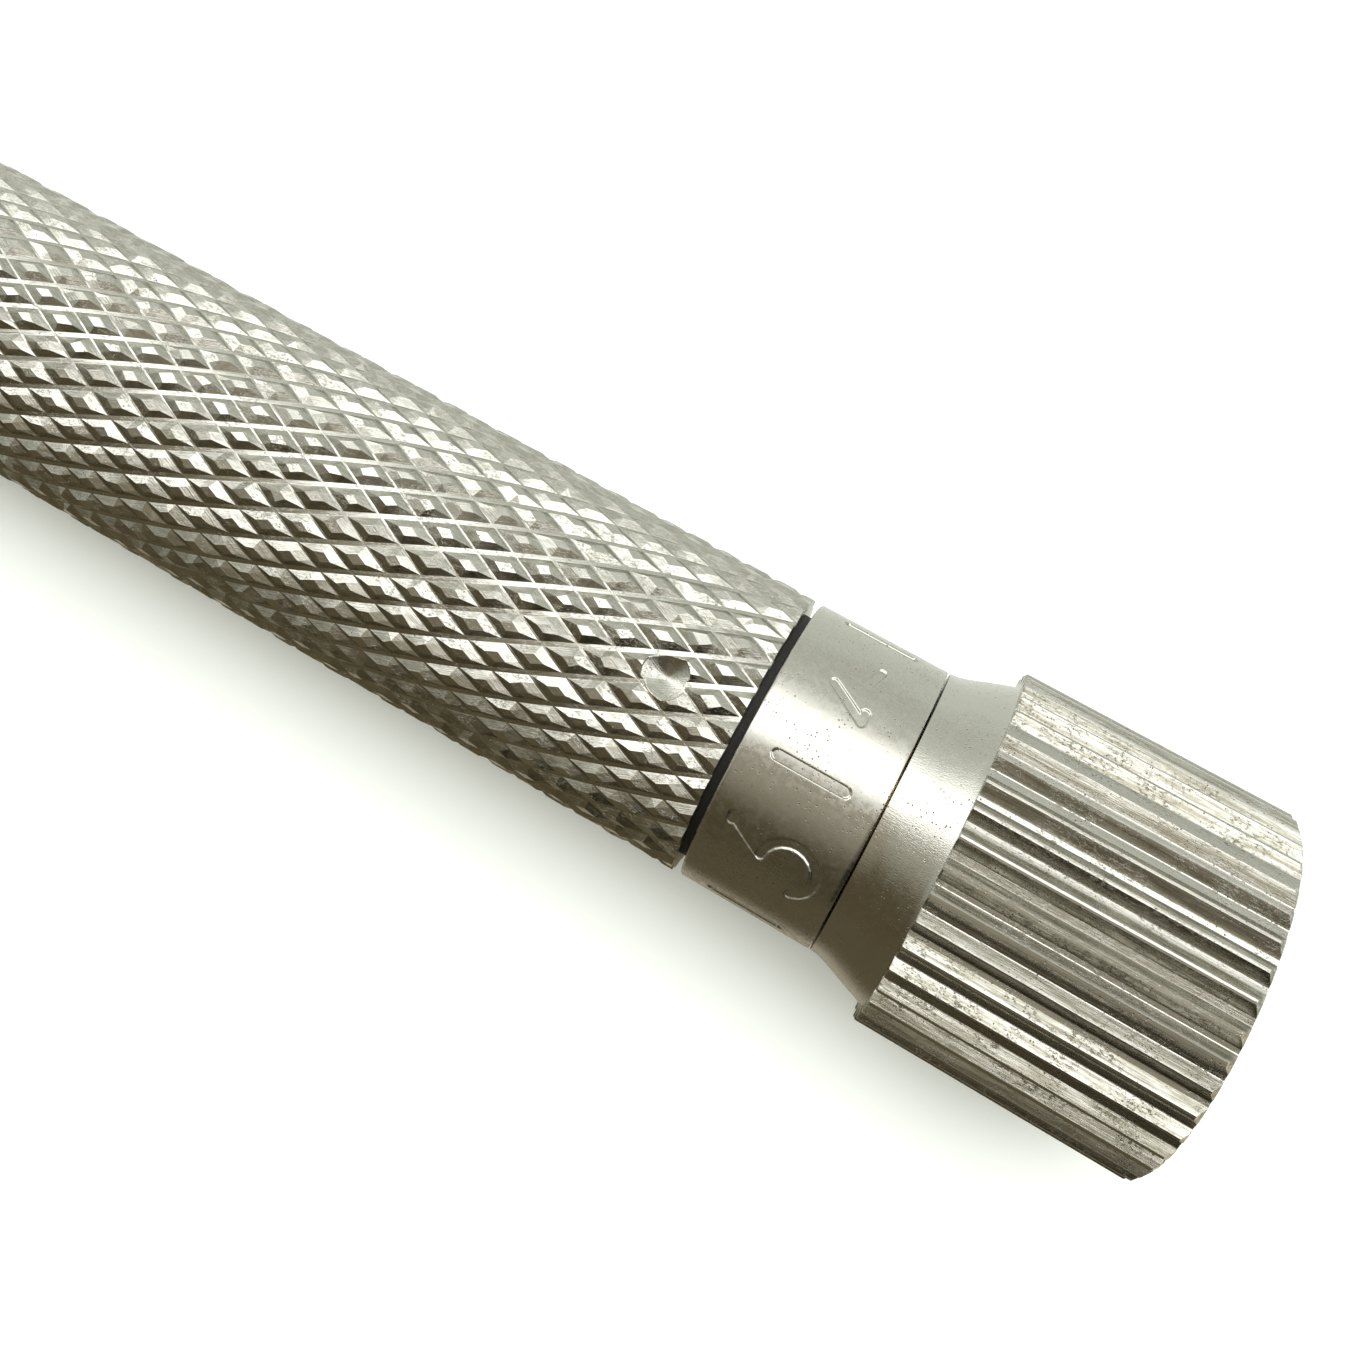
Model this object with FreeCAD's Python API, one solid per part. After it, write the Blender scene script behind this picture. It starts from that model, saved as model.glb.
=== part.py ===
"""Twist-action lead holder for 2 mm drafting leads.

The axis of the holder is +X, from the nose towards the knob, and +Z is up. The origin is on
the axis, in the middle of the knurled grip. All sizes are in millimetres.
"""
import FreeCAD
import Part
import math
import os

# Lead
lead_d = 2.0
lead_stickout = 6.0
lead_rear_gap = 15.87
lead_point_len = 4.0
lead_point_d = 0.5

# Fits
running_clear = 0.05
sliding_clear = 0.10
grip_clear = 0.02
seat_clear = 0.03
face_clear = 0.02
end_clear = 0.20
slot_clear = 0.10

# Barrel, with the index dimple beside its rear end
barrel_len = 103.0
barrel_d = 9.0
barrel_wall = 1.0
barrel_chamfer = 0.12
index_d = 1.4
index_slope_deg = 30.0
index_wall = 0.1
index_from_end = 2.42

# Jaws
jaw_count = 3
jaw_slit_deg = 14.0
jaw_stickout = 0.6
jaw_head_len = 2.6
jaw_relief_clear = 0.15
jaw_neck_wall = 0.3
jaw_tail_step = 0.35
jaw_tail_len = 1.9
jaw_nose_bevel = 0.35
jaw_travel = 1.5

# Clutch ring: the tapered seat that closes the jaws
ring_len = 3.5
ring_throat_clear = 0.14
ring_taper_rise = 0.6
ring_wall = 0.35

# Socket that holds the jaw tails
socket_front = 8.6
socket_len = 7.4
socket_wall = 0.4
socket_lip_len = 0.4
socket_tube_seat_len = 4.0

# Nose cone and its front collar
nose_len = 18.0
nose_land_len = 2.0
nose_tip_wall = 0.45
nose_step = 0.4
nose_spigot_len = 7.0
collar_len = 4.0
collar_step = 0.2
collar_chamfer = 0.3

# Lead tube, which draws the socket to and fro
tube_clear = 0.2
tube_wall = 0.5
tube_rear_from_barrel_end = 19.0

# Guide bush, key pin and spring
guide_gap = 1.0
guide_len = 8.0
key_pin_d = 0.8
key_slot_depth = 0.35
spring_seat_len = 0.5
spring_seat_gap = 0.2
spring_len = 11.5
spring_wire_d = 0.6
spring_bore_gap = 0.55
spring_turns = 6.0
spring_collar_len = 2.0
spring_collar_rim = 0.35

# Twist drive
screw_socket_len = 4.0
screw_socket_wall = 0.7
screw_len = 16.0
screw_step = 0.2
nut_wall = 0.6
nut_flange_len = 1.2
nut_flange_step = 0.6
nut_passage_clear = 0.4
nut_thread_len = 13.0
nut_washer_len = 0.3

# Rear bush, with the journal that the dial turns on
bush_len = 12.0
bush_journal_wall = 0.5

# Dial ring
dial_gap = 0.26
dial_len = 4.19
dial_step = 0.045
dial_recess_rim = 0.75
dial_recess_len = 0.55
thrust_washer_rim = 0.8
tick_count = 5
tick_rest_deg = 5.0
tick_len = 2.42
tick_width = 0.34
tick_depth = 0.08

# Knob
parting_gap = 0.07
neck_len = 1.93
knob_step = 1.01
shoulder_step = 0.48
knob_len = 8.42
knob_chamfer_len = 0.2
knob_chamfer_depth = 0.24
flute_count = 41
flute_depth = 0.27
flute_share = 0.91
flute_floor_share = 0.18
pocket_len = 3.6
lock_nut_wall = 0.6
lock_nut_corner_gap = 0.205
lock_nut_len = 2.2
cap_len = 1.0
cap_skirt_len = 2.6
cap_skirt_wall = 0.4
cap_bevel = 0.25

# Diameters that follow from the lead, outwards
jaw_relief_d = lead_d + 2 * jaw_relief_clear
jaw_neck_d = jaw_relief_d + 2 * jaw_neck_wall
jaw_tail_d = jaw_neck_d + 2 * jaw_tail_step
ring_throat_d = jaw_neck_d + 2 * ring_throat_clear
ring_mouth_d = ring_throat_d + 2 * ring_taper_rise
ring_d = ring_mouth_d + 2 * ring_wall
nose_tip_d = ring_d + 2 * nose_tip_wall
socket_d = jaw_tail_d + 2 * (sliding_clear + socket_wall)
nose_cavity_d = socket_d + 2 * sliding_clear
tube_bore_d = lead_d + 2 * tube_clear
tube_d = tube_bore_d + 2 * tube_wall
spring_mean_d = tube_d + 2 * spring_bore_gap + spring_wire_d
spring_collar_d = spring_mean_d + spring_wire_d + 2 * spring_collar_rim
screw_socket_d = tube_d + 2 * screw_socket_wall
screw_d = tube_d + 2 * screw_step
nut_thread_d = screw_d + 2 * sliding_clear
nut_shaft_d = nut_thread_d + 2 * nut_wall
nut_flange_d = nut_shaft_d + 2 * nut_flange_step
nut_passage_d = lead_d + 2 * nut_passage_clear
lock_nut_flats = nut_shaft_d + 2 * lock_nut_wall
lock_nut_corners = lock_nut_flats / math.cos(math.pi / 6)
pocket_d = lock_nut_corners + 2 * (lock_nut_corner_gap + cap_skirt_wall)
bush_bore_d = nut_shaft_d + 2 * running_clear
bush_journal_d = bush_bore_d + 2 * bush_journal_wall
dial_bore_d = bush_journal_d + 2 * running_clear
dial_recess_d = bush_journal_d + 2 * dial_recess_rim
thrust_washer_d = bush_journal_d + 2 * thrust_washer_rim

# Diameters that follow from the barrel
barrel_bore_d = barrel_d - 2 * barrel_wall
collar_d = barrel_d - 2 * collar_step
nose_base_d = barrel_d - 2 * nose_step
spring_seat_d = barrel_bore_d - 2 * spring_seat_gap
dial_d = barrel_d - 2 * dial_step
knob_d = barrel_d + 2 * knob_step
neck_rear_d = knob_d - 2 * shoulder_step

# Stations along the axis, counted from the nose tip
barrel_front = nose_len + collar_len
barrel_rear = barrel_front + barrel_len
origin_shift = barrel_front + barrel_len / 2
spigot_rear = barrel_front + nose_spigot_len
bush_front = barrel_rear - bush_len
dial_front = barrel_rear + dial_gap
dial_rear = dial_front + dial_len
knob_front = dial_rear + parting_gap
knob_shoulder = knob_front + neck_len
knob_rear = knob_shoulder + knob_len
pocket_floor = knob_rear - pocket_len
lead_rear = knob_rear - lead_rear_gap
tube_front = socket_front + socket_len - socket_tube_seat_len
tube_rear = barrel_rear - tube_rear_from_barrel_end
guide_front = spigot_rear + guide_gap
guide_rear = guide_front + guide_len
key_pin_x = guide_front + guide_len / 2
spring_front = guide_rear + spring_seat_len
spring_rear = spring_front + spring_len
nut_flange_rear = bush_front - nut_washer_len - face_clear
nut_flange_front = nut_flange_rear - nut_flange_len

AXIS = FreeCAD.Vector(1, 0, 0)
ORIGIN = FreeCAD.Vector(0, 0, 0)


def revolve(outline, angle=360.0, start=0.0):
    """Turns an outline of (x, radius) points round the axis; x counts from the nose tip."""
    points = [FreeCAD.Vector(x - origin_shift, 0, r) for x, r in outline]
    face = Part.Face(Part.makePolygon(points + points[:1]))
    solid = face.revolve(ORIGIN, AXIS, angle)
    if start:
        solid.rotate(ORIGIN, AXIS, start)
    return solid


def ring(front, rear, outer_d, inner_d):
    """A plain ring between two stations."""
    outer, inner = outer_d / 2, inner_d / 2
    return revolve([(front, inner), (front, outer), (rear, outer), (rear, inner)])


def rod(front, rear, diameter):
    """A plain rod on the axis between two stations."""
    start = FreeCAD.Vector(front - origin_shift, 0, 0)
    return Part.makeCylinder(diameter / 2, rear - front, start, AXIS)


def radial_rod(station, inner_r, outer_r, diameter):
    """A short rod that stands out from the axis along +Z."""
    foot = FreeCAD.Vector(station - origin_shift, 0, inner_r)
    return Part.makeCylinder(diameter / 2, outer_r - inner_r, foot, FreeCAD.Vector(0, 0, 1))


def ring_radius(station):
    """Radius of the clutch ring's taper at a station."""
    slope = (ring_throat_d - ring_mouth_d) / 2 / ring_len
    return ring_mouth_d / 2 + slope * station


def lead():
    """Lead with a blunt point at the front and a square rear end."""
    front = -lead_stickout
    full, tip = lead_d / 2, lead_point_d / 2
    outline = [(front, 0), (front, tip), (front + lead_point_len, full)]
    outline += [(lead_rear, full), (lead_rear, 0)]
    return revolve(outline)


def nose_cone():
    """Hollow cone with a spigot that screws into the barrel."""
    shoulder = nose_len
    seat, cavity = ring_d / 2, nose_cavity_d / 2
    outline = [(0, seat), (0, nose_tip_d / 2), (nose_len - nose_land_len, nose_base_d / 2)]
    outline += [(shoulder, nose_base_d / 2), (shoulder, barrel_bore_d / 2)]
    outline += [(spigot_rear, barrel_bore_d / 2), (spigot_rear, cavity), (ring_len, cavity), (ring_len, seat)]
    return revolve(outline)


def clutch_ring():
    """Pressed-in ring whose bore narrows from its mouth to its throat."""
    outer = ring_d / 2
    outline = [(0, ring_radius(0)), (0, outer), (ring_len, outer), (ring_len, ring_radius(ring_len))]
    return revolve(outline)


def front_collar():
    """Smooth collar clamped between the nose cone and the barrel."""
    inner, outer = barrel_bore_d / 2, collar_d / 2
    front, rear = nose_len, barrel_front
    outline = [(front, inner), (front, outer - collar_chamfer), (front + collar_chamfer, outer)]
    outline += [(rear - collar_chamfer, outer), (rear, outer - collar_chamfer), (rear, inner)]
    return revolve(outline)


def index_drill(station, outer_r):
    """The drill that sinks the index dimple: a cone with a short straight wall above it."""
    cone_depth = index_d / 2 * math.tan(math.radians(index_slope_deg))
    tip = FreeCAD.Vector(station - origin_shift, 0, outer_r - index_wall - cone_depth)
    up = FreeCAD.Vector(0, 0, 1)
    point = Part.makeCone(0, index_d / 2, cone_depth, tip, up)
    body = Part.makeCylinder(index_d / 2, barrel_wall, tip + up * cone_depth, up)
    return point.fuse(body)


def barrel():
    """Tube whose outside is the crests of the knurl, with the index dimple drilled in it."""
    inner, outer = barrel_bore_d / 2, barrel_d / 2
    front, rear = barrel_front, barrel_rear
    outline = [(front, inner), (front, outer - barrel_chamfer), (front + barrel_chamfer, outer)]
    outline += [(rear - barrel_chamfer, outer), (rear, outer - barrel_chamfer), (rear, inner)]
    body = revolve(outline)
    return body.cut(index_drill(rear - index_from_end, outer))


def jaw(index):
    """One spring-tempered jaw: tapered head, thin neck and a tail held in the socket."""
    grip = lead_d / 2 + grip_clear
    relief, neck, tail = jaw_relief_d / 2, jaw_neck_d / 2, jaw_tail_d / 2
    front = -jaw_stickout
    head = ring_radius(0) - seat_clear
    tail_front = socket_front + socket_lip_len + running_clear
    tail_rear = tail_front + jaw_tail_len
    outline = [(front, grip), (front, head - jaw_nose_bevel), (front + jaw_nose_bevel, head), (0, head)]
    outline += [(jaw_head_len, ring_radius(jaw_head_len) - seat_clear), (ring_len, neck)]
    outline += [(tail_front, neck), (tail_front, tail), (tail_rear, tail), (tail_rear, relief)]
    outline += [(jaw_head_len, relief), (jaw_head_len, grip)]
    span = 360.0 / jaw_count
    return revolve(outline, span - jaw_slit_deg, index * span - (span - jaw_slit_deg) / 2)


def jaw_socket():
    """Sliding head of the lead tube: a lipped pocket for the jaws and a seat for the tube."""
    outer = socket_d / 2
    lip = jaw_neck_d / 2 + running_clear
    pocket = jaw_tail_d / 2 + sliding_clear
    pocket_front = socket_front + socket_lip_len
    pocket_rear = pocket_front + jaw_tail_len + 2 * running_clear
    rear = socket_front + socket_len
    outline = [(socket_front, lip), (socket_front, outer), (rear, outer), (rear, tube_d / 2)]
    outline += [(tube_front, tube_d / 2), (tube_front, tube_bore_d / 2), (pocket_rear, tube_bore_d / 2)]
    outline += [(pocket_rear, pocket), (pocket_front, pocket), (pocket_front, lip)]
    return revolve(outline)


def lead_tube():
    """Long tube that guides the lead, with the key slot that stops it turning."""
    tube = ring(tube_front, tube_rear, tube_d, tube_bore_d)
    slot_front = key_pin_x - key_pin_d / 2 - slot_clear
    slot_len = key_pin_d + jaw_travel + 2 * slot_clear
    slot_width = key_pin_d + slot_clear
    corner = FreeCAD.Vector(slot_front - origin_shift, -slot_width / 2, tube_d / 2 - key_slot_depth)
    return tube.cut(Part.makeBox(slot_len, slot_width, tube_d, corner))


def guide_bush():
    """Front guide of the lead tube, cross-drilled for the key pin."""
    bush = ring(guide_front, guide_rear, barrel_bore_d, tube_d + 2 * running_clear)
    return bush.cut(radial_rod(key_pin_x, 0, barrel_bore_d, key_pin_d))


def key_pin():
    """Pin that reaches into the lead tube's slot."""
    inner_r = tube_d / 2 - key_slot_depth + slot_clear
    return radial_rod(key_pin_x, inner_r, barrel_bore_d / 2 - running_clear, key_pin_d)


def return_spring():
    """Round-wire compression spring between its seat and the collar on the lead tube."""
    wire_r = spring_wire_d / 2
    run = spring_len - spring_wire_d - 2 * face_clear
    path = Part.makeHelix(run / spring_turns, run, spring_mean_d / 2)
    profile = Part.Wire(Part.makeCircle(wire_r, FreeCAD.Vector(spring_mean_d / 2, 0, 0),
                                        FreeCAD.Vector(0, 1, 0)))
    spring = Part.Wire(path).makePipeShell([profile], True, True)
    spring.rotate(ORIGIN, FreeCAD.Vector(0, 1, 0), 90)
    spring.translate(FreeCAD.Vector(spring_front + wire_r + face_clear - origin_shift, 0, 0))
    return spring


def drive_screw():
    """Hollow screw on the rear end of the lead tube."""
    socket_front_x = tube_rear - screw_socket_len
    rear = tube_rear + screw_len
    outline = [(socket_front_x, tube_d / 2), (socket_front_x, screw_socket_d / 2)]
    outline += [(tube_rear, screw_socket_d / 2), (tube_rear, screw_d / 2), (rear, screw_d / 2)]
    outline += [(rear, tube_bore_d / 2), (tube_rear, tube_bore_d / 2), (tube_rear, tube_d / 2)]
    return revolve(outline)


def drive_nut():
    """Flanged nut that turns with the knob; its long shaft runs through the rear bush."""
    thread = nut_thread_d / 2
    thread_rear = nut_flange_rear + nut_thread_len
    rear = pocket_floor + lock_nut_len
    outline = [(nut_flange_front, thread), (nut_flange_front, nut_flange_d / 2)]
    outline += [(nut_flange_rear, nut_flange_d / 2), (nut_flange_rear, nut_shaft_d / 2)]
    outline += [(rear, nut_shaft_d / 2), (rear, nut_passage_d / 2)]
    outline += [(thread_rear, nut_passage_d / 2), (thread_rear, thread)]
    return revolve(outline)


def rear_bush():
    """Bush fixed in the barrel; its journal carries the dial and its bore carries the nut."""
    bore = bush_bore_d / 2
    rear = dial_rear - end_clear
    outline = [(bush_front, bore), (bush_front, barrel_bore_d / 2), (barrel_rear, barrel_bore_d / 2)]
    outline += [(barrel_rear, bush_journal_d / 2), (rear, bush_journal_d / 2), (rear, bore)]
    return revolve(outline)


def dial_ring():
    """Ring with five half-step ticks; the numbers stand between them."""
    inner, outer, recess = dial_bore_d / 2, dial_d / 2, dial_recess_d / 2
    recess_front = dial_rear - dial_recess_len
    outline = [(dial_front, inner), (dial_front, outer), (dial_rear, outer), (dial_rear, recess)]
    outline += [(recess_front, recess), (recess_front, inner)]
    dial = revolve(outline)
    middle = dial_front + dial_len / 2 - origin_shift
    half = (tick_len - tick_width) / 2
    floor_r = outer - tick_depth
    for step in range(tick_count):
        corner = FreeCAD.Vector(middle - half, -tick_width / 2, floor_r)
        slot = Part.makeBox(2 * half, tick_width, outer, corner)
        for end in (middle - half, middle + half):
            slot = slot.fuse(Part.makeCylinder(tick_width / 2, outer, FreeCAD.Vector(end, 0, floor_r)))
        slot.rotate(ORIGIN, AXIS, tick_rest_deg + step * 360.0 / tick_count)
        dial = dial.cut(slot)
    return dial


def fluted_grip():
    """Straight-fluted part of the knob, before its rear edge is chamfered."""
    crest, floor = knob_d / 2, knob_d / 2 - flute_depth
    pitch = 2 * math.pi / flute_count
    corners = []
    for step in range(flute_count):
        middle = step * pitch
        for share, radius in ((-flute_share, crest), (-flute_floor_share, floor),
                              (flute_floor_share, floor), (flute_share, crest)):
            angle = middle + share * pitch / 2
            corners.append(FreeCAD.Vector(knob_shoulder - origin_shift, radius * math.sin(angle),
                                          radius * math.cos(angle)))
    face = Part.Face(Part.makePolygon(corners + corners[:1]))
    return face.extrude(AXIS * knob_len)


def knob():
    """Knob: flared neck, fluted grip, bore for the nut's shaft and a pocket at the rear."""
    neck = revolve([(knob_front, 0), (knob_front, dial_d / 2), (knob_shoulder, neck_rear_d / 2),
                    (knob_shoulder, 0)])
    crest = knob_d / 2
    envelope = revolve([(knob_shoulder, 0), (knob_shoulder, crest), (knob_rear - knob_chamfer_len, crest),
                        (knob_rear, crest - knob_chamfer_depth), (knob_rear, 0)])
    body = neck.fuse(fluted_grip().common(envelope))
    body = body.cut(rod(knob_front, knob_rear, nut_shaft_d))
    return body.cut(rod(pocket_floor, knob_rear, pocket_d)).removeSplitter()


def lock_nut():
    """Thin hexagon nut that locks the knob on the shaft."""
    corner_r = lock_nut_corners / 2
    corners = []
    for step in range(6):
        angle = step * math.pi / 3
        corners.append(FreeCAD.Vector(pocket_floor - origin_shift, corner_r * math.sin(angle),
                                      corner_r * math.cos(angle)))
    hexagon = Part.Face(Part.makePolygon(corners + corners[:1])).extrude(AXIS * lock_nut_len)
    return hexagon.cut(rod(pocket_floor, knob_rear, nut_shaft_d))


def end_cap():
    """Cup pressed into the knob's pocket, flush with its rear face."""
    outer = pocket_d / 2
    inner = outer - cap_skirt_wall
    skirt_front = knob_rear - cap_skirt_len
    outline = [(skirt_front, inner), (skirt_front, outer), (knob_rear - cap_bevel, outer)]
    outline += [(knob_rear, outer - cap_bevel), (knob_rear, 0), (knob_rear - cap_len, 0)]
    outline += [(knob_rear - cap_len, inner)]
    return revolve(outline)


def build():
    """Every piece of the holder by node name."""
    pieces = {
        "lead": lead(),
        "nose_cone": nose_cone(),
        "clutch_ring": clutch_ring(),
        "front_collar": front_collar(),
        "barrel": barrel(),
        "jaw_socket": jaw_socket(),
        "lead_tube": lead_tube(),
        "guide_bush": guide_bush(),
        "key_pin": key_pin(),
        "spring_seat": ring(guide_rear, spring_front, spring_seat_d, tube_d + 2 * sliding_clear),
        "return_spring": return_spring(),
        "spring_collar": ring(spring_rear, spring_rear + spring_collar_len, spring_collar_d, tube_d),
        "drive_screw": drive_screw(),
        "drive_nut": drive_nut(),
        "nut_washer": ring(bush_front - nut_washer_len, bush_front, nut_flange_d, bush_bore_d),
        "rear_bush": rear_bush(),
        "thrust_washer": ring(barrel_rear, dial_front - face_clear, thrust_washer_d, bush_journal_d),
        "dial_ring": dial_ring(),
        "friction_washer": ring(dial_rear - dial_recess_len, dial_rear, dial_recess_d, dial_bore_d),
        "knob": knob(),
        "lock_nut": lock_nut(),
        "end_cap": end_cap(),
    }
    for index in range(jaw_count):
        pieces[f"jaw_{index + 1}"] = jaw(index)
    return pieces


os.makedirs("parts", exist_ok=True)
for name, shape in sorted(build().items()):
    shape.exportStep(f"parts/{name}.step")
    print(f"{name:16s} volume {shape.Volume:9.3f} mm3  solids {len(shape.Solids)}  valid {shape.isValid()}")
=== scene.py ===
"""Looks of a twist-action lead holder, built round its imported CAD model.

Units are metres, +X runs along the holder from the nose to the knob and +Z is up. Angles round
the holder are zero at +Z, where the index dimple is, and grow towards -Y.
"""
import math

import bmesh
import bpy
import numpy as np
from mathutils import Matrix, Vector


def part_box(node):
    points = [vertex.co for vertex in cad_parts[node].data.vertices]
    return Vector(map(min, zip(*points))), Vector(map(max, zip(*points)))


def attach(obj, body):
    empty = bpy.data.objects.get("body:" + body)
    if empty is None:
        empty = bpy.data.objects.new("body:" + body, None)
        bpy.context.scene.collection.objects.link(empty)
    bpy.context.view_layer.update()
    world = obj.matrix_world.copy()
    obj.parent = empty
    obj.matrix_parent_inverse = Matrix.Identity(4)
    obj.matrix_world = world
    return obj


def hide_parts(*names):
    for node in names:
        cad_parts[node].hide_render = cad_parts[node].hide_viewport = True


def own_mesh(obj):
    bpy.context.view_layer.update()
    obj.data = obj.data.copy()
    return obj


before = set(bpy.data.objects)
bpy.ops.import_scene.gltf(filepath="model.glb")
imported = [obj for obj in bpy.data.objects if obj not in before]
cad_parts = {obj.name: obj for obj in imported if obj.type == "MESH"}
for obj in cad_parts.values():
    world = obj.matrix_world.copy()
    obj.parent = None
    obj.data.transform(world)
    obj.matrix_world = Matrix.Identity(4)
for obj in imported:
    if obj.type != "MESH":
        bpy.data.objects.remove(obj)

MM = 0.001
TURN = 2 * math.pi
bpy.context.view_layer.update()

# Places and sizes that the pieces share, read from the frame
barrel_low, barrel_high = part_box("barrel")
collar_low, collar_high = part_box("front_collar")
nose_low, nose_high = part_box("nose_cone")
dial_low, dial_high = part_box("dial_ring")
knob_low, knob_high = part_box("knob")
cap_low, cap_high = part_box("end_cap")
lead_low, lead_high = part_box("lead")
bush_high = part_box("rear_bush")[1]
lock_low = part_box("lock_nut")[0]
ring_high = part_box("clutch_ring")[1]

barrel_r = barrel_high.y
barrel_bore_r = bush_high.y
barrel_end = barrel_high.x

# Knurl
KNURL_STARTS = 30
KNURL_PERIOD = 1.98 * MM
KNURL_DEPTH_LEFT = 0.17 * MM
KNURL_DEPTH_RIGHT = 0.15 * MM
KNURL_FLOOR_LEFT = 0.085
KNURL_FLOOR_RIGHT = 0.032
KNURL_FLANK_END = 0.34
KNURL_END_BEVEL = 0.02 * MM

# Index dimple
INDEX_FROM_END = 2.42 * MM
INDEX_R = 0.70 * MM
INDEX_SLOPE_DEG = 30
INDEX_TIP_R = 0.10 * MM
INDEX_WALL = 0.13 * MM

# Dial
DIAL_START_DEG = 5.0
TICK_FRONT = 1.13 * MM
TICK_REAR = 3.54 * MM
TICK_WIDTH = 0.34 * MM
DIGIT_MIDDLE = 2.37 * MM
DIGIT_HALF = 1.38 * MM
DIGIT_STROKE = 0.30 * MM
ENGRAVE_DEPTH = 0.06 * MM
DIAL_FINE = 0.024 * MM
DIAL_COARSE = 0.12 * MM

# Knob
FLUTES = 41
FLUTE_DEPTH = 0.30 * MM
NECK_LEN = 1.93 * MM
RIM_R = 5.26 * MM
RIM_CHAMFER = 0.2 * MM

# Return spring
SPRING_WIRE_R = 0.3 * MM
SPRING_TURNS = 6


# ---------------------------------------------------------------- mesh helpers

def mesh_object(name, points, faces, smooth_deg=None):
    """A mesh object; faces that meet at less than smooth_deg are shaded as one surface."""
    mesh = bpy.data.meshes.new(name)
    mesh.from_pydata([tuple(p) for p in points], [], [tuple(f) for f in faces])
    mesh.update()
    piece = bpy.data.objects.new(name, mesh)
    bpy.context.scene.collection.objects.link(piece)
    if smooth_deg is not None:
        mesh.shade_smooth()
        mesh.set_sharp_from_angle(angle=math.radians(smooth_deg))
    return piece


def polar(x, angle, radius):
    """Points of the holder's surface from stations, angles and radii (arrays or numbers)."""
    x, angle, radius = np.broadcast_arrays(x, angle, radius)
    return np.stack([x, -radius * np.sin(angle), radius * np.cos(angle)], axis=-1)


def ring_faces(rings, count, closed):
    """Quads between neighbouring rings of count points, wound to face outwards."""
    last = rings if closed else rings - 1
    faces = []
    for i in range(last):
        a, b = i * count, (i + 1) % rings * count
        for j in range(count):
            k = (j + 1) % count
            faces.append((a + j, a + k, b + k, b + j))
    return faces


def rounded(outline, radius, steps=4):
    """The closed outline of (x, r) points with every corner rounded by an arc."""
    points = [Vector(p) for p in outline]
    result = []
    for i, corner in enumerate(points):
        before, after = points[i - 1] - corner, points[(i + 1) % len(points)] - corner
        half = before.angle(after) / 2
        if corner.y < 1e-9 or half > math.radians(86):
            result.append(tuple(corner))
            continue
        reach = min(radius / math.tan(half), 0.45 * before.length, 0.45 * after.length)
        start = corner + before.normalized() * reach
        end = corner + after.normalized() * reach
        for k in range(steps + 1):
            t = k / steps
            result.append(tuple(start * (1 - t) ** 2 + corner * 2 * t * (1 - t) + end * t ** 2))
    return result


def lathe(name, outline, count=192, smooth_deg=40):
    """A solid turned from a closed outline of (x, r) points, listed front to rear on the outside."""
    angles = np.arange(count) * TURN / count
    rings = [polar(x, angles, max(r, 0.0)) for x, r in outline]
    piece = mesh_object(name, np.concatenate(rings), ring_faces(len(rings), count, True), None)
    merge(piece)
    piece.data.shade_smooth()
    piece.data.set_sharp_from_angle(angle=math.radians(smooth_deg))
    return piece


def merge(piece, distance=1e-7):
    """Joins points that coincide and turns the faces outwards."""
    work = bmesh.new()
    work.from_mesh(piece.data)
    bmesh.ops.remove_doubles(work, verts=work.verts, dist=distance)
    bmesh.ops.dissolve_degenerate(work, edges=work.edges, dist=distance)
    bmesh.ops.recalc_face_normals(work, faces=work.faces)
    work.to_mesh(piece.data)
    work.free()


# ---------------------------------------------------------------- knurled barrel

def knurl_lines(seed):
    """Offset and depth of each groove of one hand of the knurl, in turn round the barrel."""
    chance = np.random.default_rng(seed)
    offset = chance.normal(0, 0.018, KNURL_STARTS)
    depth = 1 + chance.normal(0, 0.07, KNURL_STARTS)
    return offset, depth


def knurl_fractions(floor):
    """Where the surface bends between one groove and the next."""
    return np.array([0.0, floor, KNURL_FLANK_END, 1 - KNURL_FLANK_END, 1 - floor])


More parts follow.
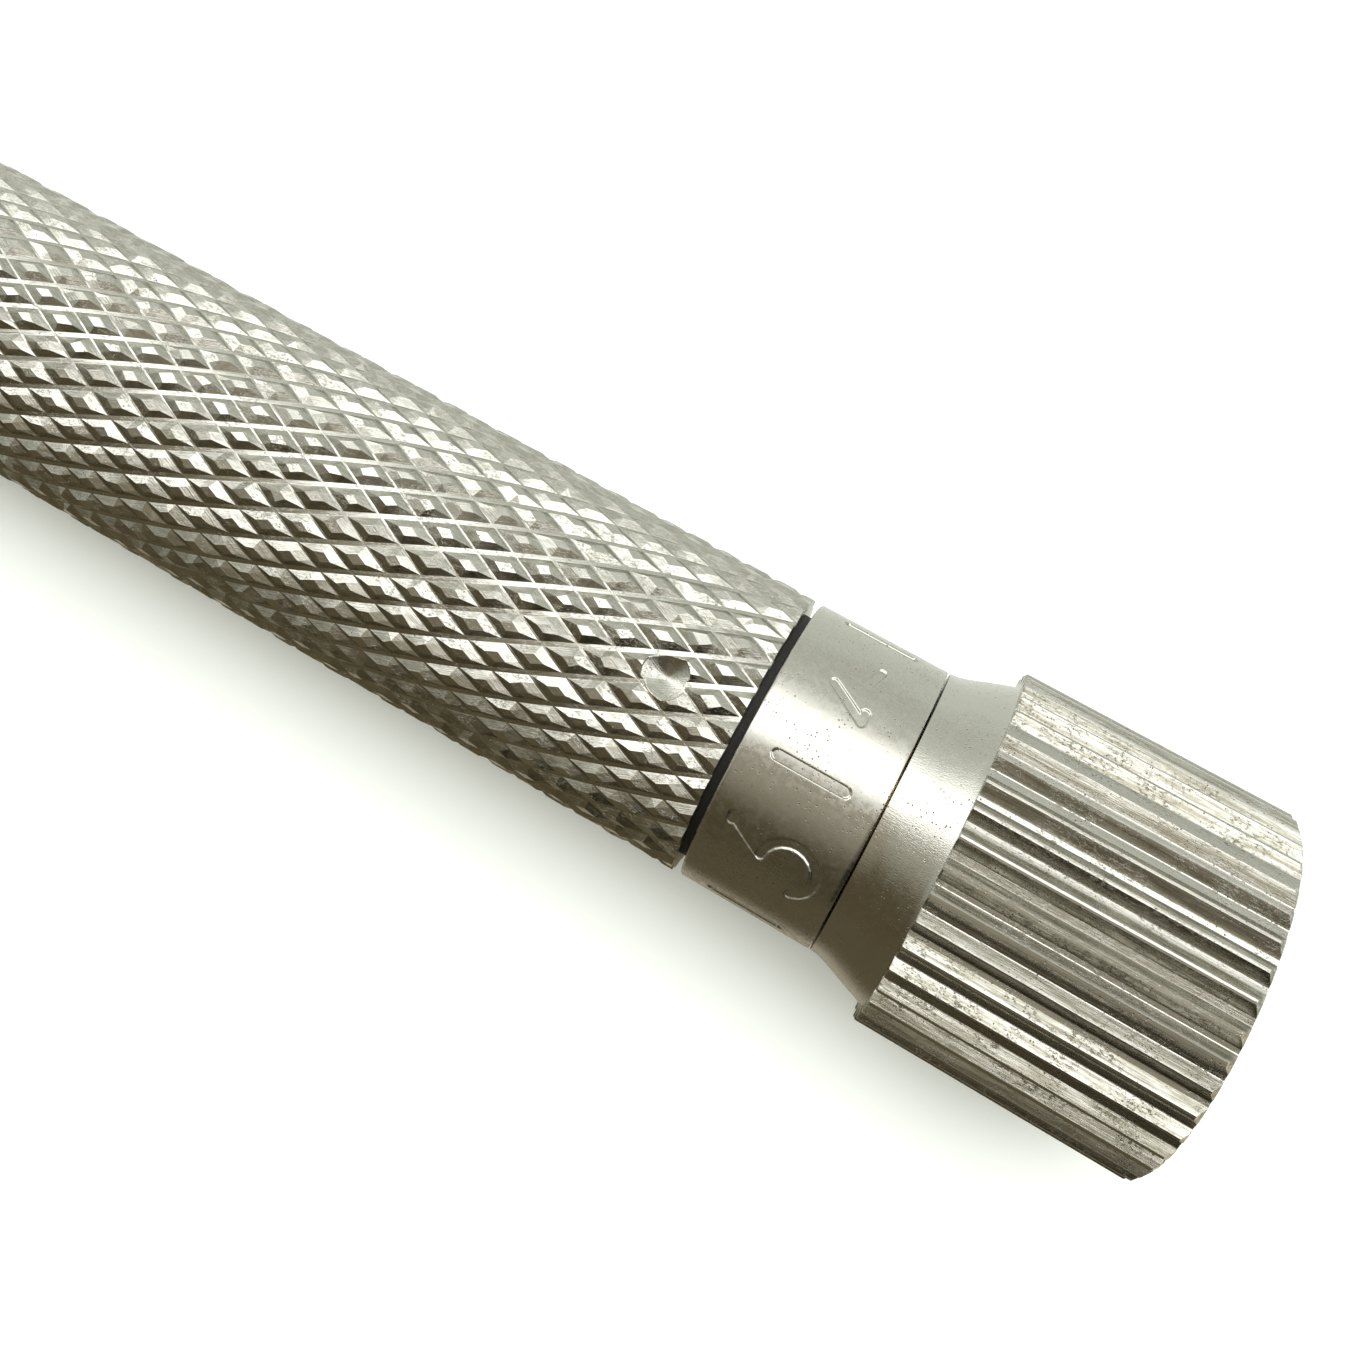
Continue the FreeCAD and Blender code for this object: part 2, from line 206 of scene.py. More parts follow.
def knurled_skin(front, rear):
    """Points and faces of the knurl, laid out on the two families of helical grooves."""
    chance = np.random.default_rng(7)
    left_bends, right_bends = knurl_fractions(KNURL_FLOOR_LEFT), knurl_fractions(KNURL_FLOOR_RIGHT)
    per = len(left_bends)
    columns = KNURL_STARTS * per
    low = int(math.floor(-2 * rear / KNURL_PERIOD)) - 2
    high = int(math.ceil(-2 * front / KNURL_PERIOD)) + 2
    rows = (high - low) * per
    left_offset, left_depth = knurl_lines(3)
    right_offset, right_depth = knurl_lines(11)

    g_left = np.repeat(np.arange(columns)[:, None], rows + 1, axis=1)
    g_right = g_left + low * per + np.arange(rows + 1)[None, :]

    def family(grid, bends, offsets, depths):
        cell, bend = np.floor_divide(grid, per), np.mod(grid, per)
        near = np.mod(np.where(bend > 2, cell + 1, cell), KNURL_STARTS)
        return cell + bends[bend] + offsets[near], bend, depths[near]

    left, left_bend, left_scale = family(g_left, left_bends, left_offset, left_depth)
    right, right_bend, right_scale = family(g_right, right_bends, right_offset, right_depth)

    def cut(bend):
        return np.where((bend == 0) | (bend == 1) | (bend == per - 1), 1.0, 0.0)

    sink = np.maximum(cut(left_bend) * KNURL_DEPTH_LEFT * left_scale,
                      cut(right_bend) * KNURL_DEPTH_RIGHT * right_scale)
    pad = (cut(left_bend) == 0) & (cut(right_bend) == 0)
    left = left + np.where(pad, chance.normal(0, 0.028, pad.shape), 0)
    right = right + np.where(pad, chance.normal(0, 0.028, pad.shape), 0)
    cells = chance.random((columns // per + 1, rows // per + 2))
    worn = cells[g_left // per, (g_right - g_left - low * per) // per]
    sink = sink + np.where(pad, 0.03 * MM * worn ** 2, 0)
    sink = sink + np.abs(chance.normal(0, 0.002 * MM, sink.shape))

    x = -(right - left) / 2 * KNURL_PERIOD
    angle = (left + right) / 2 * TURN / KNURL_STARTS
    points = polar(x, angle, barrel_r - sink).reshape(-1, 3)
    shade = (sink / KNURL_DEPTH_LEFT).reshape(-1)

    faces = knurl_faces(columns, rows, low, per, left_bend[:, 0])
    return points, faces, shade


def knurl_faces(columns, rows, low, per, left_bend):
    """Faces between neighbouring points; one at a pad's corner, where two flanks meet, is two triangles."""
    faces = []
    wide = rows + 1

    def index(column, row):
        return column % columns * wide + row

    for column in range(columns):
        corner_left = left_bend[column]
        for row in range(1, rows):
            a, b = index(column, row), index(column + 1, row - 1)
            c, d = index(column + 1, row), index(column, row + 1)
            corner_right = (column + low * per + row) % per
            same = {corner_left, corner_right} in ({1}, {3})
            cross = {corner_left, corner_right} == {1, 3}
            if same:
                faces.append((a, b, c))
                faces.append((a, c, d))
            elif cross:
                faces.append((a, b, d))
                faces.append((b, c, d))
            else:
                faces.append((a, b, c, d))
    return faces


def zip_rings(work, outer, inner):
    """Triangles between two closed rings of points that are sorted by angle."""
    def turn_of(vert):
        return math.atan2(-vert.co.y, vert.co.z) % TURN

    i = j = 0
    outer = sorted(outer, key=turn_of)
    inner = sorted(inner, key=turn_of)
    while i < len(outer) or j < len(inner):
        next_i = turn_of(outer[i + 1]) if i + 1 < len(outer) else TURN + turn_of(outer[0])
        next_j = turn_of(inner[j + 1]) if j + 1 < len(inner) else TURN + turn_of(inner[0])
        a, b = outer[i % len(outer)], inner[j % len(inner)]
        if j >= len(inner) or (i < len(outer) and next_i <= next_j):
            work.faces.new((a, outer[(i + 1) % len(outer)], b))
            i += 1
        else:
            work.faces.new((a, inner[(j + 1) % len(inner)], b))
            j += 1


def close_barrel(piece, front, rear):
    """Cuts the knurl square at both ends and joins the ends through the bore."""
    work = bmesh.new()
    work.from_mesh(piece.data)
    mouths = []
    for end, inwards in ((front, 1), (rear, -1)):
        plane = Vector((end + inwards * KNURL_END_BEVEL, 0, 0))
        found = bmesh.ops.bisect_plane(work, geom=work.verts[:] + work.edges[:] + work.faces[:],
                                       plane_co=plane, plane_no=(-inwards, 0, 0),
                                       clear_outer=True)
        edge = [v for v in found["geom_cut"] if isinstance(v, bmesh.types.BMVert)]
        count = 240
        steps = np.arange(count) * TURN / count
        lip_r = barrel_r - KNURL_DEPTH_LEFT - 0.03 * MM
        lip = [work.verts.new(p) for p in polar(end, steps, lip_r)]
        mouth = [work.verts.new(p) for p in polar(end, steps, barrel_bore_r)]
        zip_rings(work, edge, lip)
        for k in range(count):
            n = (k + 1) % count
            work.faces.new((lip[k], lip[n], mouth[n], mouth[k]))
        mouths.append(mouth)
    for k in range(len(mouths[0])):
        n = (k + 1) % len(mouths[0])
        work.faces.new((mouths[0][k], mouths[0][n], mouths[1][n], mouths[1][k]))
    bmesh.ops.recalc_face_normals(work, faces=work.faces)
    work.to_mesh(piece.data)
    work.free()


def cone_height(radius):
    """Height of the drill point's surface above its tip; the tip itself is rounded."""
    slope = math.tan(math.radians(INDEX_SLOPE_DEG))
    return (math.sqrt(radius ** 2 + INDEX_TIP_R ** 2) - INDEX_TIP_R) * slope


def dimple_cutter(tip):
    """The drill: a rounded cone with a short straight wall above it."""
    count, steps = 96, 20
    turns = np.arange(count) * TURN / count
    outline = [(INDEX_R * step / steps, cone_height(INDEX_R * step / steps)) for step in range(1, steps + 1)]
    outline.append((INDEX_R * 1.02, outline[-1][1] + 2 * INDEX_WALL))
    outline.append((INDEX_R * 1.02, outline[-1][1] + MM))
    points = [tip]
    for radius, height in outline:
        points += [tip + Vector((radius * math.cos(t), radius * math.sin(t), height)) for t in turns]
    points.append(tip + Vector((0, 0, outline[-1][1])))
    faces = [(0, 1 + (k + 1) % count, 1 + k) for k in range(count)]
    for ring in range(len(outline) - 1):
        a, b = 1 + ring * count, 1 + (ring + 1) * count
        faces += [(a + k, a + (k + 1) % count, b + (k + 1) % count, b + k) for k in range(count)]
    top = 1 + (len(outline) - 1) * count
    faces += [(top + k, top + (k + 1) % count, len(points) - 1) for k in range(count)]
    cutter = mesh_object("dimple_cutter", points, faces)
    merge(cutter)
    return cutter


def drill_dimple(piece):
    """Cuts the index dimple with a drill point and shades its cone smooth."""
    depth = cone_height(INDEX_R) + INDEX_WALL
    tip = Vector((barrel_end - INDEX_FROM_END, 0, barrel_r - depth))
    cutter = dimple_cutter(tip)
    cut = piece.modifiers.new("dimple", "BOOLEAN")
    cut.operation = "DIFFERENCE"
    cut.solver = "EXACT"
    cut.object = cutter
    bpy.context.view_layer.update()
    shaped = bpy.data.meshes.new_from_object(piece.evaluated_get(bpy.context.evaluated_depsgraph_get()))
    piece.modifiers.clear()
    piece.data = shaped
    bpy.data.objects.remove(cutter)
    for face in shaped.polygons:
        off = 0.0
        for v in face.vertices:
            point = shaped.vertices[v].co - tip
            off = max(off, abs(point.z - cone_height(math.hypot(point.x, point.y))))
        face.use_smooth = off < 0.004 * MM


def knurled_barrel():
    """The grip: a tube whose outside is cut by two crossing sets of helical grooves."""
    points, faces, shade = knurled_skin(barrel_low.x - barrel_end, 0.0)
    points[:, 0] += barrel_end
    piece = mesh_object("grip_barrel", points, faces)
    # How deep each point lies, which the material uses for grime and painted shade in the grooves.
    sunk = piece.data.attributes.new("sunk", "FLOAT", "POINT")
    sunk.data.foreach_set("value", shade.astype(np.float32))
    close_barrel(piece, barrel_low.x, barrel_end)
    drill_dimple(piece)
    return piece


# ---------------------------------------------------------------- engraved dial

def arc(centre, radius, start_deg, end_deg, steps=14):
    """Points along an arc; angles count from the right, anticlockwise."""
    turns = np.radians(np.linspace(start_deg, end_deg, steps))
    return [(centre[0] + radius * math.cos(t), centre[1] + radius * math.sin(t)) for t in turns]


def digit_strokes(digit):
    """Strokes of a digit with what wear has left of each (0 to 1).

    Points are in units of half the digit's height, with the origin in its middle.
    """
    strokes = {
        1: [(0.9, [(-0.25, 0.68), (0.08, 1.0), (0.08, -1.0)])],
        2: [(0.9, arc((0.0, 0.42), 0.58, 165, -38) + [(-0.62, -1.0), (0.64, -1.0)])],
        3: [(0.05, [(-0.55, 1.0), (0.30, 1.0)]),
            (0.55, [(0.42, 1.0), (0.52, 1.0), (0.0, 0.2)]),
            (0.95, arc((0.0, -0.4), 0.6, 90, -155))],
        4: [(0.10, [(0.2, 1.0), (-0.1, 0.52)]), (0.85, [(-0.12, 0.45), (-0.64, -0.38), (-0.42, -0.38)]),
            (0.12, [(-0.3, -0.38), (0.4, -0.38)]), (1.2, [(0.46, -0.22), (0.76, -0.3)]),
            (0.12, [(0.3, 0.3), (0.3, -1.0)])],
        5: [(0.9, [(0.52, 1.0), (-0.42, 1.0), (-0.5, 0.12)] + arc((-0.02, -0.36), 0.64, 132, -155))],
    }
    return strokes[digit]


def distance_to_path(u, v, path):
    """Shortest distance from each point (u, v) to a run of straight segments."""
    best = np.full(u.shape, 1.0)
    for (u0, v0), (u1, v1) in zip(path, path[1:]):
        du, dv = u1 - u0, v1 - v0
        along = np.clip(((u - u0) * du + (v - v0) * dv) / (du * du + dv * dv), 0, 1)
        best = np.minimum(best, np.hypot(u - u0 - along * du, v - v0 - along * dv))
    return best


def soft_step(value, low, high):
    """Rises smoothly from 0 at low to 1 at high."""
    t = np.clip((value - low) / (high - low), 0, 1)
    return t * t * (3 - 2 * t)


def engraving(x, angle):
    """Depth of the marks at a station behind the barrel's end and an angle."""
    depth = np.zeros(x.shape)
    edge = 0.024 * MM
    for step in range(5):
        start = math.radians(DIAL_START_DEG - 72 * step)
        around = (angle - start + math.pi) % TURN - math.pi
        tick = [(TICK_FRONT + TICK_WIDTH / 2, 0), (TICK_REAR - TICK_WIDTH / 2, 0)]
        far = distance_to_path(x, around * dial_high.y, tick)
        half = TICK_WIDTH / 2
        depth = np.maximum(depth, ENGRAVE_DEPTH * (1 - soft_step(far, half - edge, half)))
    for digit in range(1, 6):
        start = math.radians(DIAL_START_DEG + 36 - 72 * (digit - 3))
        around = (angle - start + math.pi) % TURN - math.pi
        right = -around * dial_high.y
        up = DIGIT_MIDDLE - x
        half = DIGIT_STROKE / 2
        for left, stroke in digit_strokes(digit):
            path = [(u * DIGIT_HALF, v * DIGIT_HALF) for u, v in stroke]
            far = distance_to_path(right, up, path)
            mark = 1 - soft_step(far, half - 1.4 * edge, half + 0.4 * edge)
            depth = np.maximum(depth, ENGRAVE_DEPTH * left * mark)
    return depth


def dial_angles():
    """Angles of the dial's columns: close together on the marks and further apart between them."""
    spans = []
    for step in range(10):
        middle = math.radians(DIAL_START_DEG + 36 * step)
        half = (0.7 * TICK_WIDTH if step % 2 == 0 else 0.88 * DIGIT_HALF) / dial_high.y
        spans.append((middle - half, middle + half))
    runs = []
    for (start, end), (following, _) in zip(spans, spans[1:] + [(spans[0][0] + TURN, None)]):
        fine = math.ceil((end - start) * dial_high.y / DIAL_FINE)
        coarse = math.ceil((following - end) * dial_high.y / DIAL_COARSE)
        runs.append(np.linspace(start, end, fine, endpoint=False))
        runs.append(np.linspace(end, following, coarse, endpoint=False))
    return np.concatenate(runs)


def dial_stations(length, gap, front_edge, rear_edge):
    """Stations of the dial's rows, counted from its front face."""
    reach = DIGIT_HALF + DIGIT_STROKE
    first, last = DIGIT_MIDDLE - reach - gap, DIGIT_MIDDLE + reach - gap
    fine = math.ceil((last - first) / DIAL_FINE)
    return np.concatenate([np.linspace(front_edge, first, 4, endpoint=False),
                           np.linspace(first, last, fine, endpoint=False),
                           np.linspace(last, length - rear_edge, 4)])


def engraved_dial():
    """The dial ring with its numbers and half-step ticks sunk in its surface."""
    angles = dial_angles()
    edge = 0.05 * MM
    inner_r = dial_bore_radius()
    gap = dial_low.x - barrel_end
    rings = [polar(dial_low.x, angles, inner_r), polar(dial_low.x, angles, dial_high.y - edge)]
    for station in dial_stations(dial_high.x - dial_low.x, gap, edge, edge / 3):
        depth = engraving(np.full(len(angles), station + gap), angles)
        rings.append(polar(dial_low.x + station, angles, dial_high.y - depth))
    rings.append(polar(dial_high.x, angles, dial_high.y - edge / 3))
    rings.append(polar(dial_high.x, angles, inner_r))
    faces = ring_faces(len(rings), len(angles), True)
    piece = mesh_object("numbered_dial", np.concatenate(rings), faces, None)
    merge(piece)
    piece.data.shade_smooth()
    piece.data.set_sharp_from_angle(angle=math.radians(60))
    return piece


def dial_bore_radius():
    """Radius of the journal that the dial turns on, with its running gap."""
    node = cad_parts["dial_ring"]
    return min(math.hypot(v.co.y, v.co.z) for v in node.data.vertices)


# ---------------------------------------------------------------- fluted knob

def flank_points(chance, foot, top, floor, high, drop):
    """Shares and radii up one side of a ridge, with two faint ledges from the drawing tool."""
    points = [(foot * 1.07, floor), (foot * 0.98, floor + drop)]
    for at in (chance.uniform(0.25, 0.4), chance.uniform(0.6, 0.75)):
        ledge = chance.normal(0, 0.005 * MM)
        points.append((foot + at * (top - foot), floor + at * (high - floor) + ledge))
    points.append((top + 0.012 * math.copysign(1, foot), high - drop))
    points.append((top, high - drop / 4))
    return points


def flute_section():
    """Angles and radii of the fluted section, with ridges of uneven width and height."""
    chance = np.random.default_rng(19)
    crest = knob_high.y
    pitch = TURN / FLUTES
    angles, radii = [], []
    for step in range(FLUTES):
        middle = (step + chance.normal(0, 0.04)) * pitch
        top = 0.04 + abs(chance.normal(0, 0.035))
        left_foot, right_foot = np.array([0.345, 0.42]) + chance.normal(0, 0.018, 2)
        high = crest - abs(chance.normal(0, 0.015 * MM))
        floor = crest - FLUTE_DEPTH * (1 + chance.normal(0, 0.06))
        drop = 0.012 * MM
        left = flank_points(chance, -left_foot, -top, floor, high, drop)
        right = flank_points(chance, right_foot, top, floor, high, drop)
        tilt = chance.normal(0, 0.006 * MM)
        shape = left + [(0.0, high + tilt)] + right[::-1]
        for share, radius in shape:
            angles.append(middle + share * pitch)
            radii.append(radius)
    return np.array(angles), np.array(radii)


def fluted_knob():
    """The knob: flared neck, fluted grip with a chamfered rim, and a pocket for the end cap."""
    angles, radii = flute_section()
    front, rear = knob_low.x, knob_high.x
    shoulder = front + NECK_LEN
    bore_r, pocket_r = shaft_radius(), cap_high.y
    pocket_floor = lock_low.x
    rings = [polar(front, angles, bore_r), polar(front, angles, dial_high.y - 0.04 * MM)]
    for x, radius in neck_outline():
        rings.append(polar(front + x, angles, radius))
    rings.append(polar(shoulder, angles, radii - 0.04 * MM))
    rings.append(polar(shoulder + 0.03 * MM, angles, radii - 0.008 * MM))
    rings.append(polar(shoulder + 0.08 * MM, angles, radii))
    slope = (knob_high.y - RIM_R) / RIM_CHAMFER
    meet = rear - np.clip((radii - RIM_R) / slope, 0, None)
    body = shoulder + 0.08 * MM
    for step in range(1, 25):
        rings.append(polar(body + (meet - body) * step / 24, angles, radii))
    rings.append(polar(rear, angles, np.minimum(radii, RIM_R) - 0.004 * MM))
    rings.append(polar(rear, angles, pocket_r))
    rings.append(polar(pocket_floor, angles, pocket_r))
    rings.append(polar(pocket_floor, angles, bore_r))
    faces = ring_faces(len(rings), len(angles), True)
    piece = mesh_object("fluted_knob", np.concatenate(rings), faces, None)
    merge(piece)
    mark_flanks(piece, shoulder)
    piece.data.shade_smooth()
    piece.data.set_sharp_from_angle(angle=math.radians(14))
    return piece


def mark_flanks(piece, shoulder):
    """Stores how deep each point lies between two ridges, where dirt stays after handling and where the
    material lays grime and painted shade.
    """
    mesh = piece.data
    depth = mesh.attributes.new("sunk", "FLOAT", "POINT")
    values = []
    for vert in mesh.vertices:
        under = (knob_high.y - math.hypot(vert.co.y, vert.co.z)) / FLUTE_DEPTH
        inside = vert.co.x > shoulder - 0.01 * MM and under < 1.3
        values.append(min(max(under, 0.0), 1.0) if inside else 0.0)
    depth.data.foreach_set("value", values)


def neck_outline():
    """Stations and radii of the flared neck: a short cove, then a cone, then the shoulder step."""
    r = dial_high.y
    cove = [(0.0, r - 0.01 * MM), (0.06 * MM, r), (0.25 * MM, r + 0.025 * MM), (0.5 * MM, r + 0.09 * MM),
            (0.9 * MM, r + 0.235 * MM), (1.35 * MM, r + 0.40 * MM), (1.78 * MM, r + 0.55 * MM)]
    return cove + [(1.86 * MM, r + 0.585 * MM), (NECK_LEN, r + 0.62 * MM)]


def shaft_radius():
    """Radius of the drive nut's shaft where it passes through the knob."""
    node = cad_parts["drive_nut"]
    behind = [math.hypot(v.co.y, v.co.z) for v in node.data.vertices if v.co.x > dial_high.x]
    return max(behind)


# ---------------------------------------------------------------- turned pieces

def end_cap():
    """Slightly domed button that closes the knob."""
    r, rear = cap_high.y, cap_high.x
    skirt_wall, thickness = 0.4 * MM, 1.0 * MM
    inner = r - skirt_wall
    floor = rear - thickness
    outline = [(cap_low.x, inner), (cap_low.x, r), (rear - 0.12 * MM, r), (rear - 0.02 * MM, r - 0.12 * MM)]
    for step in range(1, 9):
        share = 1 - step / 8
        outline.append((rear - 0.02 * MM + 0.02 * MM * (1 - share ** 2), share * (r - 0.12 * MM)))
    outline += [(floor, 0), (floor, inner)]
    return lathe("domed_end_cap", rounded(outline, 0.06 * MM))


def turned_nose():
    """Nose cone: a long taper with a fine bead, a land behind it and a rounded tip."""
    tip, rear = nose_low.x, collar_low.x
    seat, tip_r = ring_high.y, nose_tip_radius()
    base = nose_high.y
    land = 2.0 * MM
    groove = 0.12 * MM
    cavity_r = 2.6 * MM
    outline = [(tip, seat), (tip, tip_r - 0.05 * MM), (tip + 0.25 * MM, tip_r)]
    outline += [(rear - land - 0.35 * MM, base - groove / 2), (rear - land - 0.15 * MM, base - groove * 1.6)]
    outline += [(rear - land, base - groove * 1.6), (rear - land + 0.08 * MM, base), (rear, base)]
    outline += [(rear, barrel_bore_r - 0.01 * MM), (nose_high.x, barrel_bore_r - 0.01 * MM)]
    outline += [(nose_high.x, cavity_r), (ring_high.x, cavity_r), (ring_high.x, seat)]
    return lathe("tapered_nose", rounded(outline, 0.08 * MM))


def nose_tip_radius():
    """Outer radius of the nose cone at its tip."""
    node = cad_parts["nose_cone"]
    return max(math.hypot(v.co.y, v.co.z) for v in node.data.vertices if v.co.x < nose_low.x + 0.01 * MM)


def turned_collar():
    """Front collar with two fine grooves."""
    front, rear, r = collar_low.x, collar_high.x, collar_high.y
    length = rear - front
    inner = barrel_bore_r
    sink, half_floor, half_mouth = 0.16 * MM, 0.1 * MM, 0.22 * MM
    outline = [(front, inner), (front, r - 0.3 * MM), (front + 0.3 * MM, r)]
    for middle in (0.36, 0.64):
        x = front + middle * length
        outline += [(x - half_mouth, r), (x - half_floor, r - sink)]
        outline += [(x + half_floor, r - sink), (x + half_mouth, r)]
    outline += [(rear - 0.3 * MM, r), (rear, r - 0.3 * MM), (rear, inner)]
    return lathe("turned_collar", rounded(outline, 0.06 * MM))


def pointed_lead():
    """The lead, pointed on a sharpener, with a slightly worn tip."""
    front, rear, r = lead_low.x, lead_high.x, lead_high.y
    tip_r, point = 0.25 * MM, 4.0 * MM
    outline = [(front, 0), (front + 0.03 * MM, tip_r * 0.6), (front + 0.12 * MM, tip_r * 0.95)]
    outline += [(front + point * share, tip_r + (r - tip_r) * share) for share in (0.1, 0.35, 0.6, 0.85, 1.0)]
    outline += [(rear, r), (rear, 0)]
    return lathe("pointed_lead", rounded(outline, 0.05 * MM), count=96)


def coil_spring():
    """The return spring: round wire in even turns between its seat and the carriage."""
    low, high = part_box("return_spring")
    count, steps = 14, 420
    wire = np.arange(count) * TURN / count
    run = high.x - low.x - 2 * SPRING_WIRE_R
    rings = []
    for step in range(steps + 1):
        share = step / steps
        x = low.x + SPRING_WIRE_R * (1 + np.cos(wire)) + share * run
        radius = high.y - SPRING_WIRE_R * (1 - np.sin(wire))
        rings.append(polar(x, share * SPRING_TURNS * TURN, radius))
    faces = ring_faces(len(rings), count, False)
    faces += [tuple(range(count)), tuple(range(steps * count, (steps + 1) * count))]
    piece = mesh_object("coil_spring", np.concatenate(rings), faces)
    merge(piece)
    piece.data.shade_smooth()
    piece.data.set_sharp_from_angle(angle=math.radians(50))
    return piece


def shorten_spring(piece):
    """Gives the spring a mesh of its own; its length is left as it is."""
    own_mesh(piece)


# ---------------------------------------------------------------- materials

class Recipe:
    """A material under construction: add() makes nodes, set() fills the shader's sockets."""

    def __init__(self, name):
        self.material = bpy.data.materials.new(name)
        self.material.use_nodes = True
        self.tree = self.material.node_tree
        self.shader = self.tree.nodes["Principled BSDF"]
        self.place = self.add("ShaderNodeTexCoord").outputs["Object"]

    def add(self, kind, inputs=None, **settings):
        node = self.tree.nodes.new(kind)
        for key, value in settings.items():
            setattr(node, key, value)
        for key, value in (inputs or {}).items():
            self.plug(node.inputs[key], value)
        return node

    def plug(self, socket, value):
        if isinstance(value, bpy.types.NodeSocket):
            self.tree.links.new(value, socket)
        else:
            socket.default_value = value

    def set(self, **sockets):
        for key, value in sockets.items():
            self.plug(self.shader.inputs[key.replace("_", " ")], value)

    def maths(self, operation, a, b=0.0, clamp=False):
        node = self.add("ShaderNodeMath", {0: a, 1: b}, operation=operation, use_clamp=clamp)
        return node.outputs[0]

    def noise(self, per_mm, detail=4.0, roughness=0.6, place=None):
        inputs = {"Vector": place or self.place, "Scale": per_mm / MM, "Detail": detail}
        inputs["Roughness"] = roughness
        return self.add("ShaderNodeTexNoise", inputs).outputs["Fac"]

    def stretch(self, value, low, high, to_low=0.0, to_high=1.0):
        inputs = {"Value": value, "From Min": low, "From Max": high, "To Min": to_low, "To Max": to_high}
        return self.add("ShaderNodeMapRange", inputs, interpolation_type="SMOOTHSTEP").outputs["Result"]

    def blend(self, factor, a, b):
        node = self.add("ShaderNodeMix", data_type="RGBA")
        self.plug(node.inputs[0], factor)
        self.plug(node.inputs[6], a)
        self.plug(node.inputs[7], b)
        return node.outputs[2]

    def specks(self, per_mm, share, size):
        """Scattered round spots: 1 inside a spot; share of the cells hold one."""
        inputs = {"Vector": self.place, "Scale": per_mm / MM, "Randomness": 1.0}
        cells = self.add("ShaderNodeTexVoronoi", inputs)
        chosen = self.maths("LESS_THAN", self.add("ShaderNodeSeparateColor", {
            "Color": cells.outputs["Color"]}).outputs["Red"], share)
        spot = self.stretch(cells.outputs["Distance"], size, size * 0.5)
        return self.maths("MULTIPLY", chosen, spot)

    def along_axis(self, squeeze):
        """Object coordinates squeezed along the holder, so that a texture runs out into streaks."""
        inputs = {"Vector": self.place, "Scale": (squeeze, 1.0, 1.0)}
        return self.add("ShaderNodeMapping", inputs).outputs["Vector"]

    def turning(self, per_mm):
        """Fine lines left by a lathe, on cylinders and faces alike."""
        parts = self.add("ShaderNodeSeparateXYZ", {"Vector": self.place})
        y, z = parts.outputs[1], parts.outputs[2]
        squares = self.maths("ADD", self.maths("MULTIPLY", y, y), self.maths("MULTIPLY", z, z))
        across = self.maths("SQRT", squares)
        run = self.maths("ADD", parts.outputs[0], across)
        node = self.add("ShaderNodeTexNoise", {"W": run, "Scale": per_mm / MM, "Detail": 2.0},
                        noise_dimensions="1D")
        return node.outputs["Fac"]

    def bump(self, height, depth_mm, below=None):
        node = self.add("ShaderNodeBump", {"Height": height, "Distance": depth_mm * MM, "Strength": 1.0})
        if below is not None:
            self.plug(node.inputs["Normal"], below)
        return node.outputs["Normal"]


def colour(r, g, b):
    return (r, g, b, 1.0)


